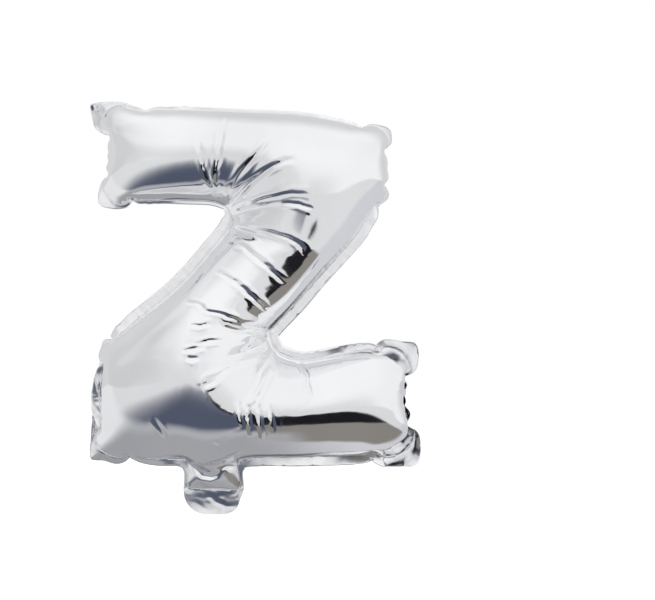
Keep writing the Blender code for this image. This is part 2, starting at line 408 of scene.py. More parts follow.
@dataclass
class FilmNet:
    """The films as one net of triangles: flat places, places in space, faces and layers."""

    flat: np.ndarray
    place: np.ndarray
    faces: np.ndarray
    layer: np.ndarray

    def finer(self) -> "FilmNet":
        """Return the net with each triangle split into four at the middles of its edges."""
        edges = edge_pairs(self.faces)
        count = len(self.place)
        keys = edges[:, 0].astype(np.int64) * (count + 1) + edges[:, 1]

        def middle(a: np.ndarray, b: np.ndarray) -> np.ndarray:
            """Return the number of the new point between points a and b."""
            key = np.minimum(a, b).astype(np.int64) * (count + 1) + np.maximum(a, b)
            return count + np.searchsorted(keys, key)

        a, b, c = self.faces.T
        ab, bc, ca = middle(a, b), middle(b, c), middle(c, a)
        corners = ((a, ab, ca), (ab, b, bc), (ca, bc, c), (ab, bc, ca))
        faces = np.vstack([np.stack(corner, axis=1) for corner in corners])
        place = np.vstack([self.place, self.place[edges].mean(axis=1)])
        flat = np.vstack([self.flat, self.flat[edges].mean(axis=1)])
        return FilmNet(flat, place, faces, np.tile(self.layer, 4))


@dataclass
class FlatPattern:
    """The flat cut of the letter: its weld line, its outer cut and the two films laid together."""

    step: float = 6.0
    scatter: float = 0.10
    seed: int = 3
    weld: np.ndarray = field(init=False)
    cut: np.ndarray = field(init=False)

    def __post_init__(self) -> None:
        """Draw the weld line and the outer cut."""
        weld = [((c.x, c.z), c.rounding) for c in CORNERS]
        self.weld = even_steps(self.round_off(weld), self.step)
        self.cut = even_steps(self.round_off(self.outer_corners()), self.step)

    @staticmethod
    def round_off(corners: list) -> np.ndarray:
        """Draw an outline with an arc at each corner.

        Args:
            corners: Each corner's place and its arc's radius, clockwise.

        Returns:
            The outline's points.
        """
        points = []
        for index, (place, radius) in enumerate(corners):
            here = np.array(place, float)
            before = np.array(corners[index - 1][0], float) - here
            after = np.array(corners[(index + 1) % len(corners)][0], float) - here
            before /= np.linalg.norm(before)
            after /= np.linalg.norm(after)
            half = np.arccos(np.clip(before @ after, -1.0, 1.0)) / 2.0
            inward = (before + after) / np.linalg.norm(before + after)
            centre = here + inward * radius / np.sin(half)
            start = here + before * radius / np.tan(half) - centre
            end = here + after * radius / np.tan(half) - centre
            first = np.arctan2(start[1], start[0])
            sweep = (np.arctan2(end[1], end[0]) - first + pi) % (2.0 * pi) - pi
            count = max(2, int(abs(sweep) * radius / 3.0) + 1)
            for turn in first + sweep * np.arange(count + 1) / count:
                points.append(centre + radius * np.array([np.cos(turn), np.sin(turn)]))
        return np.array(points)

    @staticmethod
    def outer_corners() -> list:
        """Return the outer cut's corners with their roundings: the weld's corners, moved out by the band."""
        corners = []
        for index, corner in enumerate(CORNERS):
            before, after = CORNERS[index - 1], CORNERS[(index + 1) % len(CORNERS)]
            here = np.array([corner.x, corner.z])
            first = here - np.array([before.x, before.z])
            second = np.array([after.x, after.z]) - here
            normals = np.array([(-way[1], way[0]) / np.linalg.norm(way) for way in (first, second)])
            place = here + np.linalg.solve(normals, np.array([before.band, corner.band]))
            rounding = BAND_ROUNDING
            if corner.name.startswith("neck"):
                rounding = FLAP_ROUNDING if corner.name.endswith("foot") else NECK_BAND_ROUNDING
            if corner.name in TABS:
                tab = TABS[corner.name]
                place = place + (tab.dx, tab.dz)
                rounding = tab.rounding
            corners.append((tuple(place), rounding))
        return corners

    def lattice(self) -> np.ndarray:
        """Return a slightly uneven lattice of points that keeps clear of both outlines."""
        rng = np.random.default_rng(self.seed)
        low, high = self.cut.min(axis=0) - self.step, self.cut.max(axis=0) + self.step
        rise = self.step * np.sqrt(3.0) / 2.0
        columns, rows = np.meshgrid(
            np.arange(int((high[0] - low[0]) / self.step) + 2),
            np.arange(int((high[1] - low[1]) / rise) + 2),
        )
        x = low[0] + (columns + 0.5 * (rows % 2)) * self.step
        points = np.stack([x, low[1] + rows * rise], axis=-1).reshape(-1, 2)
        points = points + rng.normal(0.0, self.step * self.scatter, points.shape)
        points = points[is_inside(self.cut, points)]
        clear = closed_distance(self.weld, points) > 0.55 * self.step
        clear &= closed_distance(self.cut, points) > 0.5 * self.step
        return points[clear]

    def films(self) -> FilmNet:
        """Return both films as one net, joined along the weld line, with the loose band outside it."""
        weld_count, cut_count = len(self.weld), len(self.cut)
        rings = [(i, (i + 1) % weld_count) for i in range(weld_count)]
        rings += [(weld_count + i, weld_count + (i + 1) % cut_count) for i in range(cut_count)]
        points = np.vstack([self.weld, self.cut, self.lattice()])
        made = delaunay_2d_cdt([Vector(point) for point in points], rings, [], 0, 1e-6)
        flat = np.array([tuple(point) for point in made[0]])
        faces = np.array([face for face in made[2] if len(face) == 3])
        faces = faces[is_inside(self.cut, flat[faces].mean(axis=1))]
        first, second = flat[faces[:, 1]] - flat[faces[:, 0]], flat[faces[:, 2]] - flat[faces[:, 0]]
        turned = first[:, 0] * second[:, 1] - first[:, 1] * second[:, 0] < 0
        faces[turned] = faces[turned][:, ::-1]
        in_letter = is_inside(self.weld, flat[faces].mean(axis=1))
        from_weld = closed_distance(self.weld, flat)
        inner = np.where(is_inside(self.weld, flat) & (from_weld > 1e-3))[0]
        twin = np.arange(len(flat))
        twin[inner] = len(flat) + np.arange(len(inner))
        front, band = faces[in_letter], faces[~in_letter]
        place = np.zeros((len(flat) + len(inner), 3))
        both = np.vstack([flat, flat[inner]])
        place[:, 0], place[:, 2] = both[:, 0], both[:, 1]
        lift = np.minimum(from_weld[inner] * 0.1, 2.0) + 0.2
        place[inner, 1] = -lift * (1.0 - FOLDS.softness(Layer.FRONT, flat[inner], self.step))
        place[len(flat):, 1] = lift * (1.0 - FOLDS.softness(Layer.BACK, flat[inner], self.step))
        layer = np.repeat([Layer.FRONT.value, Layer.BACK.value, Layer.WELD.value], [len(front), len(front), len(band)])
        return FilmNet(both, place, np.vstack([front, twin[front][:, ::-1], band]), layer)


@dataclass
class Inflation:
    """Blows the films up: gas pushes on the two panels while the foil keeps its lengths."""

    coarse_steps: int = 800
    fine_steps: int = 500
    press: float = 0.008
    coarse_bend: float = 0.35
    fine_bend: float = 0.5
    drag: float = 0.01
    tremble: float = 0.02

    def blow_up(self, pattern: FlatPattern) -> FilmNet:
        """Return the blown-up net.

        Args:
            pattern: The flat pattern.

        Returns:
            The net at half the pattern's step.
        """
        rng = np.random.default_rng(1)
        net = pattern.films()
        net.place = net.place + rng.normal(0.0, self.tremble, net.place.shape)
        self.settle(net, self.coarse_steps, self.press, self.coarse_bend, pattern.step, True)
        net = net.finer()
        net.place = net.place + rng.normal(0.0, self.tremble / 2.0, net.place.shape)
        self.settle(net, self.fine_steps, self.press / 4.0, self.fine_bend, pattern.step / 2.0, False)
        return net

    def settle(self, net: FilmNet, steps: int, press: float, bend: float, step_mm: float, from_flat: bool) -> None:
        """Move the net's points until gas and foil balance.

        Args:
            net: The net, whose places change.
            steps: How many small steps of time to take.
            press: The push of the gas on a face, against the foil's stiffness.
            bend: How much the foil resists folding, from 0 to 1.
            step_mm: The net's spacing.
            from_flat: True if the gas comes in slowly.
        """
        count = len(net.place)
        holds = []
        edges = edge_pairs(net.faces)
        kept = [(edges, np.full(len(edges), 0.5))]
        for layer in Layer:
            pairs = fold_pairs(net.faces[net.layer == layer.value])
            middles = net.flat[pairs].mean(axis=1)
            kept.append((pairs, 0.5 * bend * (1.0 - FOLDS.softness(layer, middles, step_mm))))
        pairs, weight = (np.concatenate(column) for column in zip(*kept))
        length = np.linalg.norm(net.flat[pairs[:, 0]] - net.flat[pairs[:, 1]], axis=1)
        for group in separate_groups(pairs, count):
            holds.append((pairs[group, 0], pairs[group, 1], length[group], weight[group]))
        panels = net.faces[net.layer != Layer.WELD.value]
        owners = panels.ravel()
        place = net.place.copy()
        speed = np.zeros_like(place)
        for step in range(steps):
            a, b, c = (place[panels[:, k]] for k in range(3))
            area = np.repeat(np.cross(b - a, c - a), 3, axis=0)
            push = np.stack([np.bincount(owners, weights=area[:, k], minlength=count) for k in range(3)], axis=1)
            gas = min(1.0, (step + 1) / (0.2 * steps)) if from_flat else 1.0
            speed = speed * (1.0 - self.drag) + push * (press * gas / step_mm**2)
            moved = place + speed
            for i, j, length, weight in holds:
                gap = moved[i] - moved[j]
                now = np.sqrt(np.einsum("ij,ij->i", gap, gap)) + 1e-12
                pull = (weight * (now - length) / now)[:, None] * gap
                moved[i] -= pull
                moved[j] += pull
            speed = moved - place
            place = moved
        net.place = place


@dataclass
class WeldFit:
    """Brings the blown-up weld line to where the letter's weld lies, by one smooth stretch."""

    softness: float = 0.5

    def apply(self, net: FilmNet) -> None:
        """Stretch the net in X and Z so that its weld passes through the marks.

        Args:
            net: The blown-up net, whose places change.
        """
        welded = np.unique(net.faces[net.layer == Layer.WELD.value])
        welded = np.intersect1d(welded, np.unique(net.faces[net.layer == Layer.FRONT.value]))
        sources, targets = [], []
        by_name = {corner.name: index for index, corner in enumerate(CORNERS)}
        for mark in WELD_MARKS:
            index = by_name[mark.corner]
            start = np.array([CORNERS[index].x, CORNERS[index].z])
            after = CORNERS[(index + 1) % len(CORNERS)]
            end = np.array([after.x, after.z])
            for order, target in enumerate(mark.points):
                flat = start + (end - start) * order / len(mark.points)
                nearest = welded[np.argmin(np.linalg.norm(net.flat[welded] - flat, axis=1))]
                sources.append(net.place[nearest][[0, 2]])
                targets.append(target)
        sources, targets = np.array(sources), np.array(targets, float)
        weights = self.weights(sources, targets)
        plane = net.place[:, [0, 2]]
        bent = self.kernel(plane, sources) @ weights[:-3]
        bent += np.hstack([np.ones((len(plane), 1)), plane]) @ weights[-3:]
        LOG.info("weld marks fitted: %d, largest move %.1f mm", len(targets), np.abs(bent - plane).max())
        net.place[:, [0, 2]] = bent

    @staticmethod
    def kernel(points: np.ndarray, marks: np.ndarray) -> np.ndarray:
        """Return the thin plate's influence of each mark on each point."""
        gap = np.linalg.norm(points[:, None] - marks[None], axis=2) / 100.0
        return gap**2 * np.log(gap + 1e-9)

    def weights(self, sources: np.ndarray, targets: np.ndarray) -> np.ndarray:
        """Solve for the thin plate that carries the sources to the targets.

        Args:
            sources: Where the marks lie now.
            targets: Where they should lie.

        Returns:
            The plate's weights, with three rows for its plane at the end.
        """
        count = len(sources)
        plane = np.hstack([np.ones((count, 1)), sources])
        system = np.zeros((count + 3, count + 3))
        system[:count, :count] = self.kernel(sources, sources) + np.eye(count) * self.softness * 0.01
        system[:count, count:] = plane
        system[count:, :count] = plane.T
        return np.linalg.solve(system, np.vstack([targets, np.zeros((3, 2))]))


@dataclass
class Relaxing:
    """Draws the small ripples out of the taut foil away from the notches, as stiff foil does."""

    passes: int = 18
    pace: float = 0.6
    near_notch: float = 26.0
    past_notch: float = 52.0
    elsewhere: float = 0.35

    def apply(self, net: FilmNet) -> None:
        """Move each point of the panels towards the middle of its neighbours.

        Args:
            net: The fitted net, whose places change.
        """
        welded = np.zeros(len(net.place), bool)
        welded[net.faces[net.layer == Layer.WELD.value].ravel()] = True
        edges = edge_pairs(net.faces[net.layer != Layer.WELD.value])
        both = np.vstack([edges, edges[:, ::-1]])
        neighbours = np.maximum(np.bincount(both[:, 0], minlength=len(net.place)), 1)
        plane = net.place[:, [0, 2]]
        notches = [mark.points[0] for mark in WELD_MARKS if mark.corner.endswith("notch")]
        gap = np.min([np.linalg.norm(plane - notch, axis=1) for notch in notches], axis=0)
        free = np.clip((gap - self.near_notch) / (self.past_notch - self.near_notch), 0.0, 1.0)
        in_stroke = np.abs(plane[:, 1] - 8.0) < 80.0
        pace = self.pace * free * np.where(in_stroke, 1.0, self.elsewhere)
        pace[welded] = 0.0
        for _ in range(self.passes):
            sums = np.stack(
                [np.bincount(both[:, 0], weights=net.place[both[:, 1], k], minlength=len(net.place)) for k in range(3)],
                axis=1,
            )
            net.place += pace[:, None] * (sums / neighbours[:, None] - net.place)


@dataclass
class BandLay:
    """Lays the loose band flat outside the calm edges, and the flap straight down under the neck."""

    ripple_kept: float = 0.3
    end_share: float = 0.10
    flap_drop: float = 0.98

    def apply(self, net: FilmNet) -> None:
        """Move the band's and the flap's points.

        Args:
            net: The fitted net, whose places change.
        """
        welded = np.intersect1d(
            np.unique(net.faces[net.layer == Layer.WELD.value]),
            np.unique(net.faces[net.layer == Layer.FRONT.value]),
        )
        loose = np.setdiff1d(np.unique(net.faces[net.layer == Layer.WELD.value]), welded)
        gap = np.linalg.norm(net.flat[loose][:, None] - net.flat[welded][None], axis=2)
        order = np.argsort(gap, axis=1)
        first, second = welded[order[:, 0]], welded[order[:, 1]]
        flat_way = net.flat[second] - net.flat[first]
        way = net.place[second][:, [0, 2]] - net.place[first][:, [0, 2]]
        turn = np.arctan2(way[:, 1], way[:, 0]) - np.arctan2(flat_way[:, 1], flat_way[:, 0])
        out = net.flat[loose] - net.flat[first]
        laid = np.stack([
            net.place[first, 0] + np.cos(turn) * out[:, 0] - np.sin(turn) * out[:, 1],
            net.place[first, 1] + self.ripple_kept * (net.place[loose, 1] - net.place[first, 1]),
            net.place[first, 2] + np.sin(turn) * out[:, 0] + np.cos(turn) * out[:, 1],
        ], axis=1)
        calm = self.calmness(net.flat[loose])[:, None]
        net.place[loose] = net.place[loose] * (1.0 - calm) + laid * calm
        self.hang_flap(net, welded, loose)

    def calmness(self, flat: np.ndarray) -> np.ndarray:
        """Tell how flat the band lies at some flat places, from 0 to 1."""
        best = np.full(len(flat), np.inf)
        calm = np.zeros(len(flat))
        for index, corner in enumerate(CORNERS):
            after = CORNERS[(index + 1) % len(CORNERS)]
            start, end = np.array([corner.x, corner.z]), np.array([after.x, after.z])
            gap, share = segment_distance(start, end, flat)
            fade = np.clip(np.minimum(share, 1.0 - share) / self.end_share - 0.3, 0.0, 1.0)
            if corner.name.endswith("notch") or corner.name == "top_left":
                fade = np.clip((1.0 - share) / self.end_share - 0.3, 0.0, 1.0)
            if after.name.endswith("notch"):
                fade = np.clip(share / self.end_share - 0.3, 0.0, 1.0)
            closer = gap < best
            best[closer] = gap[closer]
            calm[closer] = (corner.calm * fade)[closer]
        return calm

    def hang_flap(self, net: FilmNet, welded: np.ndarray, loose: np.ndarray) -> None:
        """Hang the flap straight down from the neck's foot, with one soft bow across it.

        Args:
            net: The net, whose places change.
            welded: The weld line's points.
            loose: The band's points outside the weld.
        """
        by_name = {corner.name: corner for corner in CORNERS}
        left, right = by_name["neck_left_foot"], by_name["neck_right_foot"]
        foot = welded[net.flat[welded][:, 1] < max(left.z, right.z) + 0.5]
        foot = foot[np.argsort(net.flat[foot][:, 0])]
        share = (net.flat[loose][:, 0] - left.x) / (right.x - left.x)
        below = left.z + (right.z - left.z) * share - net.flat[loose][:, 1]
        flap = loose[(below > 0.0) & (share > -0.15) & (share < 1.15)]
        below = below[(below > 0.0) & (share > -0.15) & (share < 1.15)]
        across = net.flat[flap][:, 0]
        ends = net.flat[foot][:, 0]
        x = np.interp(across, ends, net.place[foot, 0]) + across - np.clip(across, ends[0], ends[-1])
        y = np.interp(across, ends, net.place[foot, 1])
        z = np.interp(across, ends, net.place[foot, 2])
        middle = (ends[0] + ends[-1]) / 2.0
        bow = -0.8 * np.sin(pi * np.clip(below / 26.0, 0.0, 1.0)) * np.cos((across - middle) / 20.0)
        net.place[flap] = np.stack([x, y - bow, z - below * self.flap_drop], axis=1)


@dataclass(frozen=True)
class MirrorFoil:
    """Taut mirror foil: near-white silver whose shine and flatness vary a little over the film."""

    name: str
    silver: tuple = (0.935, 0.94, 0.95, 1.0)
    shade: tuple = (0.87, 0.875, 0.89, 1.0)
    smooth: float = 0.04
    hazy: float = 0.12
    ripple: float = 0.06
    ripple_scale: float = 26.0
    crinkle: float = 0.035
    crinkle_scale: float = 120.0

    def material(self) -> bpy.types.Material:
        """Return the finish as a node material on Object coordinates."""
        made = bpy.data.materials.new(self.name)
        made.use_nodes = True
        tree = made.node_tree
        shader = tree.nodes["Principled BSDF"]
        shader.inputs["Metallic"].default_value = 1.0
        place = tree.nodes.new("ShaderNodeTexCoord")
        broad = noise(tree, place, 9.0, 3.0)
        tone = tree.nodes.new("ShaderNodeValToRGB")
        tone.color_ramp.elements[0].position = 0.30
        tone.color_ramp.elements[0].color = self.shade
        tone.color_ramp.elements[1].position = 0.62
        tone.color_ramp.elements[1].color = self.silver
        tree.links.new(broad.outputs["Fac"], tone.inputs["Fac"])
        tree.links.new(tone.outputs["Color"], shader.inputs["Base Color"])
        haze = tree.nodes.new("ShaderNodeMapRange")
        haze.inputs["From Min"].default_value = 0.35
        haze.inputs["From Max"].default_value = 0.70
        haze.inputs["To Min"].default_value = self.smooth
        haze.inputs["To Max"].default_value = self.hazy
        tree.links.new(noise(tree, place, 34.0, 4.0).outputs["Fac"], haze.inputs["Value"])
        tree.links.new(haze.outputs["Result"], shader.inputs["Roughness"])
        wide = bump(tree, noise(tree, place, self.ripple_scale, 2.0).outputs["Fac"], self.ripple, 0.002)
        fine = bump(tree, noise(tree, place, self.crinkle_scale, 5.0).outputs["Fac"], self.crinkle, 0.0008)
        tree.links.new(wide.outputs["Normal"], fine.inputs["Normal"])
        tree.links.new(fine.outputs["Normal"], shader.inputs["Normal"])
        return made


@dataclass(frozen=True)
class CrumpledFoil:
    """Loose foil: the same silver, crossed by sharp little folds that are bumped into its normal, with painted shade
    along the fold lines.
    """

    name: str
    silver: tuple = (0.92, 0.925, 0.935, 1.0)
    # The darker colour that the fold lines take: painted shade in the creases.
    shade: tuple = (0.80, 0.805, 0.82, 1.0)
    roughness: tuple = (0.06, 0.20)
    fold_scale: float = 70.0
    fold: float = 0.25
    grain: float = 0.06

    def material(self) -> bpy.types.Material:
        """Return the finish as a node material on Object coordinates."""
        made = bpy.data.materials.new(self.name)
        made.use_nodes = True
        tree = made.node_tree
        shader = tree.nodes["Principled BSDF"]
        shader.inputs["Metallic"].default_value = 1.0
        place = tree.nodes.new("ShaderNodeTexCoord")
        cells = tree.nodes.new("ShaderNodeTexVoronoi")
        cells.feature = "DISTANCE_TO_EDGE"
        cells.inputs["Scale"].default_value = self.fold_scale
        tree.links.new(place.outputs["Object"], cells.inputs["Vector"])
        # Painted shade: the fold lines at the cells' edges take the shade colour, which turns to silver a little way
        # off them.
        tone = tree.nodes.new("ShaderNodeValToRGB")
        tone.color_ramp.elements[0].color = self.shade
        tone.color_ramp.elements[1].position = 0.25
        tone.color_ramp.elements[1].color = self.silver
        tree.links.new(cells.outputs["Distance"], tone.inputs["Fac"])
        tree.links.new(tone.outputs["Color"], shader.inputs["Base Color"])
        haze = tree.nodes.new("ShaderNodeMapRange")
        haze.inputs["To Min"].default_value = self.roughness[0]
        haze.inputs["To Max"].default_value = self.roughness[1]
        tree.links.new(noise(tree, place, 60.0, 4.0).outputs["Fac"], haze.inputs["Value"])
        tree.links.new(haze.outputs["Result"], shader.inputs["Roughness"])
        folds = bump(tree, cells.outputs["Distance"], self.fold, 0.0015)
        fine = bump(tree, noise(tree, place, 160.0, 4.0).outputs["Fac"], self.grain, 0.0006)
        tree.links.new(folds.outputs["Normal"], fine.inputs["Normal"])
        tree.links.new(fine.outputs["Normal"], shader.inputs["Normal"])
        return made


@dataclass(frozen=True)
class ValveFilm:
    """Thin greyish glossy film of the filling valve."""

    name: str
    tint: tuple = (0.74, 0.76, 0.78, 1.0)
    shade: tuple = (0.62, 0.64, 0.67, 1.0)
    roughness: tuple = (0.22, 0.42)

    def material(self) -> bpy.types.Material:
        """Return the finish as a node material on Object coordinates."""
        made = bpy.data.materials.new(self.name)
        made.use_nodes = True
        tree = made.node_tree
        shader = tree.nodes["Principled BSDF"]
        shader.inputs["Metallic"].default_value = 0.2
        place = tree.nodes.new("ShaderNodeTexCoord")
        cloud = noise(tree, place, 40.0, 4.0)
        tone = tree.nodes.new("ShaderNodeValToRGB")
        tone.color_ramp.elements[0].color = self.shade
        tone.color_ramp.elements[1].color = self.tint
        tree.links.new(cloud.outputs["Fac"], tone.inputs["Fac"])
        tree.links.new(tone.outputs["Color"], shader.inputs["Base Color"])
        haze = tree.nodes.new("ShaderNodeMapRange")
        haze.inputs["To Min"].default_value = self.roughness[0]
        haze.inputs["To Max"].default_value = self.roughness[1]
        tree.links.new(cloud.outputs["Fac"], haze.inputs["Value"])
        tree.links.new(haze.outputs["Result"], shader.inputs["Roughness"])
        ripples = bump(tree, noise(tree, place, 90.0, 3.0).outputs["Fac"], 0.2, 0.001)
        tree.links.new(ripples.outputs["Normal"], shader.inputs["Normal"])
        return made


def noise(tree: bpy.types.NodeTree, place: bpy.types.Node, scale: float, detail: float) -> bpy.types.Node:
    """Add a noise pattern on Object coordinates.

    Args:
        tree: The material's node tree.
        place: The tree's Texture Coordinate node.
        scale: The pattern's scale, in cells per metre.
        detail: How many finer layers it has.

    Returns:
        The noise node.
    """
    made = tree.nodes.new("ShaderNodeTexNoise")
    made.inputs["Scale"].default_value = scale
    made.inputs["Detail"].default_value = detail
    tree.links.new(place.outputs["Object"], made.inputs["Vector"])
    return made


def bump(tree: bpy.types.NodeTree, height: bpy.types.NodeSocket, strength: float, distance: float) -> bpy.types.Node:
    """Add a Bump node that reads a height.

    Args:
        tree: The material's node tree.
        height: The socket that gives the height.
        strength: How strongly it shows, from 0 to 1.
        distance: The height's full size in metres.

    Returns:
        The Bump node.
    """
    made = tree.nodes.new("ShaderNodeBump")
    made.inputs["Strength"].default_value = strength
    made.inputs["Distance"].default_value = distance
    tree.links.new(height, made.inputs["Height"])
    return made


def blend_step(tree: bpy.types.NodeTree, value: bpy.types.NodeSocket, start: float, end: float) -> bpy.types.NodeSocket:
    """Turn a value into a smooth step from 0 at start to 1 at end.

    Args:
        tree: The node tree.
        value: The socket that gives the value.
        start: Where the step begins.
        end: Where it is full.

    Returns:
        The step's socket.
    """
    made = tree.nodes.new("ShaderNodeMapRange")
    made.interpolation_type = "SMOOTHSTEP"
    made.inputs["From Min"].default_value = start
    made.inputs["From Max"].default_value = end
    tree.links.new(value, made.inputs["Value"])
    return made.outputs["Result"]


def product(tree: bpy.types.NodeTree, first: bpy.types.NodeSocket, second: bpy.types.NodeSocket) -> bpy.types.NodeSocket:
    """Multiply two values and return the result's socket."""
    made = tree.nodes.new("ShaderNodeMath")
    made.operation = "MULTIPLY"
    tree.links.new(first, made.inputs[0])
    tree.links.new(second, made.inputs[1])
    return made.outputs["Value"]


def mixed(tree: bpy.types.NodeTree, share: bpy.types.NodeSocket, start: object, end: object) -> bpy.types.NodeSocket:
    """Mix two colours.

    Args:
        tree: The node tree.
        share: The socket that gives the second colour's share.
        start: The first colour, as a socket or as red, green and blue.
        end: The second colour, as a socket or as red, green and blue.

    Returns:
        The mixed colour's socket.
    """
    made = tree.nodes.new("ShaderNodeMixRGB")
    tree.links.new(share, made.inputs["Fac"])
    for name, color in (("Color1", start), ("Color2", end)):
        if isinstance(color, tuple):
            made.inputs[name].default_value = (*color, 1.0)
        else:
            tree.links.new(color, made.inputs[name])
    return made.outputs["Color"]


@dataclass
class SoftSkin:
    """The net rounded once more by subdivision, ready to be shared out into pieces."""

    points: np.ndarray
    flat: np.ndarray
    faces: np.ndarray
    region: np.ndarray

    @classmethod
    def from_net(cls, net: FilmNet, region: np.ndarray) -> "SoftSkin":
        """Split each triangle into four and round the films, but keep the weld line and the cut edge.

        Args:
            net: The finished net, in millimetres.
            region: Each face's region value.

        Returns:
            The skin in metres.
        """
        fine = net.finer()
        count, edges = len(net.place), edge_pairs(net.faces)
        sides = np.vstack([net.faces[:, [0, 1]], net.faces[:, [1, 2]], net.faces[:, [2, 0]]])
        sides.sort(axis=1)
        keys = edges[:, 0].astype(np.int64) * count + edges[:, 1]
        number = np.searchsorted(keys, sides[:, 0].astype(np.int64) * count + sides[:, 1])
        across = np.concatenate([net.faces[:, 2], net.faces[:, 0], net.faces[:, 1]])
        inside = np.bincount(number, minlength=len(edges)) == 2
        far = cls.sums(number, net.place[across], len(edges))
        fine.place[count:][inside] = 0.375 * net.place[edges[inside]].sum(axis=1) + 0.125 * far[inside]
        ways, rims = np.vstack([edges, edges[:, ::-1]]), np.vstack([edges[~inside], edges[~inside][:, ::-1]])
        rim_count = np.bincount(rims[:, 0], minlength=count)
        soft, rim = rim_count == 0, rim_count == 2
        around = cls.sums(ways[:, 0], net.place[ways[:, 1]], count) / np.bincount(ways[:, 0], minlength=count)[:, None]
        beside = cls.sums(rims[:, 0], net.place[rims[:, 1]], count)
        fine.place[:count][soft] = 0.625 * net.place[soft] + 0.375 * around[soft]
        fine.place[:count][rim] = 0.75 * net.place[rim] + 0.125 * beside[rim]
        return cls(fine.place * MM, fine.flat, fine.faces, np.tile(region, 4))

    @staticmethod
    def sums(rows: np.ndarray, points: np.ndarray, count: int) -> np.ndarray:
        """Add points up by row number.

        Args:
            rows: The row that each point is added to.
            points: The points.
            count: How many rows there are.

        Returns:
            One sum for each row.
        """
        return np.stack([np.bincount(rows, weights=points[:, k], minlength=count) for k in range(3)], axis=1)

    def crease(self, folds: FoldPress) -> None:
        """Press the creases into both films and the flap, everywhere but on the weld line.

        Args:
            folds: The creases.
        """
        for layer, regions in (
            (Layer.FRONT, (Region.FRONT_PANEL, Region.NECK_FRONT)),
            (Layer.BACK, (Region.BACK_PANEL, Region.NECK_BACK)),
            (Layer.WELD, (Region.FLAP,)),
        ):
            mine = np.isin(self.region, [region.value for region in regions])
            inner = np.setdiff1d(self.faces[mine], self.faces[~mine])
            self.points[inner, 1] += folds.press(layer, self.flat[inner]) * MM

    def part(self, *regions: Region) -> tuple:
        """Cut some regions out of the skin.

        Args:
            regions: The regions to take.

        Returns:
            The points and the faces of those regions, renumbered.
        """
        faces = self.faces[np.isin(self.region, [region.value for region in regions])]
        used, renumbered = np.unique(faces, return_inverse=True)
        return self.points[used], renumbered.reshape(faces.shape)


def add_piece(name: str, points: np.ndarray, faces: np.ndarray, material: bpy.types.Material) -> bpy.types.Object:
    """Add a smooth-shaded mesh piece to the scene.

    Args:
        name: The piece's name.
        points: Its points in metres.
        faces: Its faces as rows of point numbers.
        material: Its finish.

    Returns:
        The new object, at the origin.
    """
    mesh = bpy.data.meshes.new(name)
    mesh.from_pydata(points.tolist(), [], faces.tolist())
    mesh.materials.append(material)
    mesh.shade_smooth()
    piece = bpy.data.objects.new(name, mesh)
    bpy.context.scene.collection.objects.link(piece)
    return piece


def thicken(piece: bpy.types.Object, thickness_mm: float) -> None:
    """Give a film piece its thickness, half to each side, and turn the result into a plain mesh.

    Args:
        piece: The film piece.
        thickness_mm: The thickness in millimetres.
    """
    film = piece.modifiers.new("Film", "SOLIDIFY")
    film.thickness = thickness_mm * MM
    film.offset = 0.0
    plain_mesh(piece)


def plain_mesh(piece: bpy.types.Object) -> None:
    """Turn a piece and its modifiers into a plain mesh.

    Args:
        piece: The piece, which keeps its name.
    """
    made = bpy.data.meshes.new_from_object(piece.evaluated_get(bpy.context.evaluated_depsgraph_get()))
    piece.modifiers.clear()
    piece.data = made
    made.name = piece.name


def dress(piece: bpy.types.Object, slot: str, *nodes: str) -> None:
    """Let a piece ride on the balloon's body and stand for its solids.

    Args:
        piece: The finished piece.
        slot: The record's material slot; not used.
        nodes: The solids that it stands for.
    """
    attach(piece, "root")
    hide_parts(*nodes)
    LOG.info("%s: %d points, %d faces", piece.name, len(piece.data.vertices), len(piece.data.polygons))


@dataclass
class Envelope:
    """The two puffed panels."""

    front_finish: MirrorFoil = MirrorFoil("front_mirror_foil")
    back_finish: MirrorFoil = MirrorFoil("back_mirror_foil")

    def build(self, skin: SoftSkin) -> None:
        """Build and dress both panels.

        Args:
            skin: The balloon's skin.
        """
        front = add_piece("front_foil", *skin.part(Region.FRONT_PANEL), self.front_finish.material())
        dress(front, "silver_foil", "front_panel")
        back = add_piece("back_foil", *skin.part(Region.BACK_PANEL), self.back_finish.material())
        dress(back, "silver_foil", "back_panel")


